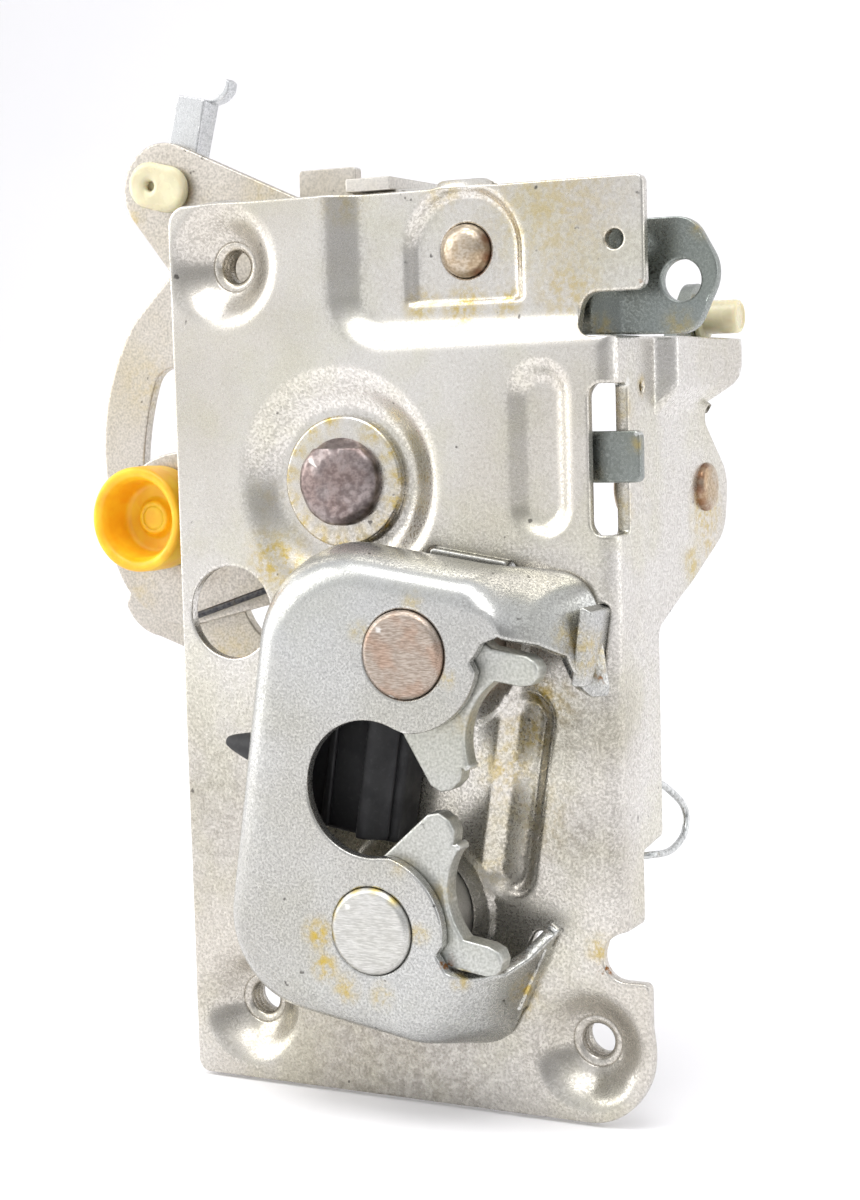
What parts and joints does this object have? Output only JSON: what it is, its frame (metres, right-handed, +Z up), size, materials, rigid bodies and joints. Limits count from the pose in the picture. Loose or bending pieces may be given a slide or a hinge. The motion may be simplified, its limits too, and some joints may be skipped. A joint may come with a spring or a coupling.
{
  "type": "vehicle door latch",
  "caption": "Pressed steel door latch with two coupled rotary claws in a drawn cover, a rocking pawl, and handle, lock and release levers on a flanged face plate.",
  "frame": {"origin": "axis of the latched striker in the plane of the front face of the face plate", "axes": "+X across the plate towards the side flange and the open mouth, +Y from the front face into the door, +Z up the plate"},
  "size_m": [0.1113, 0.0649, 0.1598],
  "materials": {
    "zinc_plate": "zinc plated and yellow passivated pressed steel, fine speckled grain",
    "zinc_lever": "zinc plated lever steel, satin",
    "zinc_claw": "zinc plated claw plate, satin with bright rounded edges",
    "bare_steel": "bare turned steel, faint brown tarnish",
    "spring_steel": "bright spring wire",
    "dark_wire": "blackened spring wire",
    "black_rubber": "matte black moulded rubber",
    "orange_plastic": "amber moulded plastic, slightly translucent",
    "cream_plastic": "cream moulded plastic, slightly translucent"
  },
  "bodies": {
    "frame": {"face_plate": "zinc_plate", "claw_cover": "zinc_plate", "rubber_buffer": "black_rubber", "main_pivot_stud": "bare_steel", "top_pivot_pin": "bare_steel", "rear_bracket": "zinc_lever", "side_rivet": "bare_steel", "side_lever_spring": "spring_steel", "main_stud_washer": "zinc_lever", "spring_spool": "cream_plastic", "stud_spring": "dark_wire", "release_lever_spacer": "zinc_lever", "main_stud_ring": "spring_steel", "top_pin_ring": "spring_steel", "upper_claw_spring": "spring_steel", "lower_claw_spring": "spring_steel"},
    "upper_rotor": {"upper_claw": "zinc_claw", "upper_claw_spindle": "bare_steel", "upper_ratchet": "zinc_lever"},
    "lower_rotor": {"lower_claw": "zinc_claw", "lower_claw_spindle": "bare_steel", "lower_ratchet": "zinc_lever"},
    "pawl_bar": {"pawl": "zinc_lever"},
    "lock_tab": {"lock_tab_lever": "zinc_lever"},
    "inner_release": {"inner_release_lever": "zinc_lever"},
    "outer_handle": {"outer_handle_lever": "zinc_lever", "roller_rivet": "bare_steel"},
    "roller": {"handle_roller": "orange_plastic"},
    "lock_link": {"slotted_lock_lever": "zinc_lever"},
    "lock_arm_assembly": {"lock_arm": "zinc_lever", "rod_clip": "cream_plastic", "rod_spring_clip": "spring_steel"},
    "side_arm": {"side_lever": "zinc_lever", "rod_pin_bush": "cream_plastic"}
  },
  "joints": [
    {"name": "upper_claw_close", "type": "hinge", "parent": "frame", "child": "upper_rotor", "pos_m": [0.00651, -0.009, 0.01975], "axis": [0, 1, 0], "range_deg": [0, 65], "stiffness_Nm_per_rad": 0.02, "springref_deg": -20.05},
    {"name": "lower_claw_close", "type": "hinge", "parent": "frame", "child": "lower_rotor", "pos_m": [0.00009, -0.009, -0.02075], "axis": [0, 1, 0], "range_deg": [-65, 0]},
    {"name": "pawl_lift", "type": "hinge", "parent": "frame", "child": "pawl_bar", "pos_m": [-0.0116, 0.0089, 0.0437], "axis": [0, 1, 0], "range_deg": [0, 7]},
    {"name": "outer_handle_swing", "type": "hinge", "parent": "frame", "child": "outer_handle", "pos_m": [-0.0116, 0.0147, 0.0437], "axis": [0, 1, 0], "range_deg": [0, 14], "stiffness_Nm_per_rad": 0.05, "springref_deg": -20.05},
    {"name": "roller_spin", "type": "hinge", "parent": "outer_handle", "child": "roller", "pos_m": [-0.0524, 0.01, 0.0377], "axis": [0, 1, 0], "continuous": true},
    {"name": "lock_arm_swing", "type": "hinge", "parent": "frame", "child": "lock_arm_assembly", "pos_m": [-0.0116, 0.0193, 0.0437], "axis": [0, 1, 0], "range_deg": [-8, 8]},
    {"name": "lock_tab_swing", "type": "hinge", "parent": "frame", "child": "lock_tab", "pos_m": [-0.0116, 0.0064, 0.0437], "axis": [0, 1, 0], "range_deg": [-7.2, 7.2]},
    {"name": "lock_link_swing", "type": "hinge", "parent": "frame", "child": "lock_link", "pos_m": [-0.0116, 0.017, 0.0437], "axis": [0, 1, 0], "range_deg": [-8, 8]},
    {"name": "inner_release_swing", "type": "hinge", "parent": "frame", "child": "inner_release", "pos_m": [0.0086, 0.0084, 0.0773], "axis": [0, 1, 0], "range_deg": [-12, 0], "stiffness_Nm_per_rad": 0.03, "springref_deg": 22.92},
    {"name": "side_lever_swing", "type": "hinge", "parent": "frame", "child": "side_arm", "pos_m": [0.0296, 0.0367, 0.041], "axis": [1, 0, 0], "range_deg": [0, 12], "stiffness_Nm_per_rad": 0.03, "springref_deg": -22.92}
  ],
  "couplings": [
    {"joint": "lower_claw_close", "follows": "upper_claw_close", "ratio": -1},
    {"joint": "pawl_lift", "follows": "outer_handle_swing", "ratio": 0.5},
    {"joint": "lock_tab_swing", "follows": "lock_arm_swing", "ratio": 0.9},
    {"joint": "lock_link_swing", "follows": "lock_arm_swing", "ratio": 1}
  ]
}
